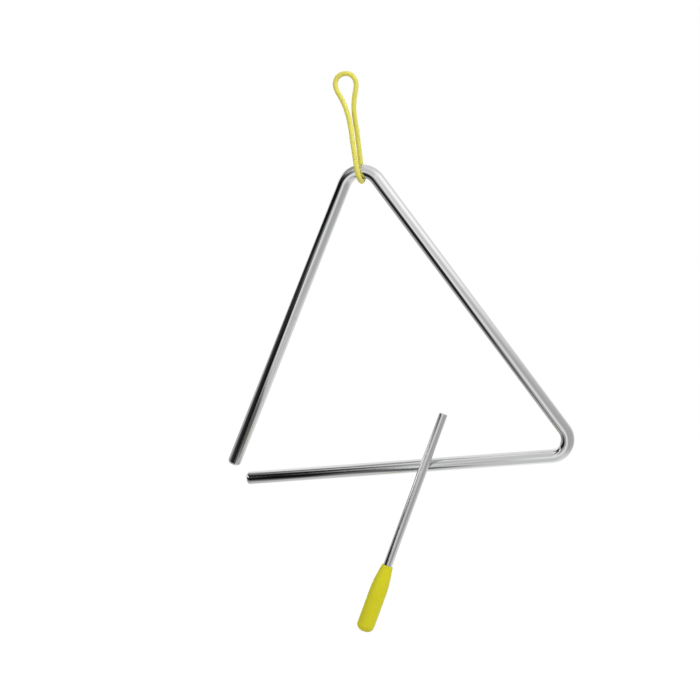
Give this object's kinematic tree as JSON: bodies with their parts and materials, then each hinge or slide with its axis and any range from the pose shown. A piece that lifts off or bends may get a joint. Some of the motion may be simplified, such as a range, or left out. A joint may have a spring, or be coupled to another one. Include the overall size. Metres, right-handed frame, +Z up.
{
  "type": "triangle instrument",
  "caption": "Small percussion triangle of bent chromed rod, open at one lower corner, hung in a soft cord loop, with a straight metal beater that has a sleeve grip.",
  "frame": {"origin": "under the top of the hanging loop, where a finger or a hook carries the whole instrument", "axes": "+Z up, +X along the lower bar from the open corner to the closed one, -Y towards the player, on whose side the beater crosses the bar"},
  "size_m": [0.1941, 0.0399, 0.2982],
  "materials": {
    "triangle_chrome": "bright chrome plating with light handling marks",
    "loop_cord": "smooth soft PVC cord, slightly glossy",
    "beater_chrome": "chrome plating, a little duller than the triangle",
    "grip_sleeve": "dipped PVC sleeve, satin"
  },
  "bodies": {
    "loop": {"hanging_loop": "loop_cord"},
    "triangle": {"triangle_rod": "triangle_chrome"},
    "beater": {"beater_rod": "beater_chrome", "beater_grip": "grip_sleeve"}
  },
  "joints": [
    {"name": "triangle_swing", "type": "hinge", "parent": "loop", "child": "triangle", "pos_m": [0, 0, -0.05], "axis": [1, 0, 0], "range_deg": [0, 60]},
    {"name": "beater_strike", "type": "slide", "parent": "loop", "child": "beater", "axis": [0, 1, 0], "range_m": [-0.08, 0]}
  ]
}
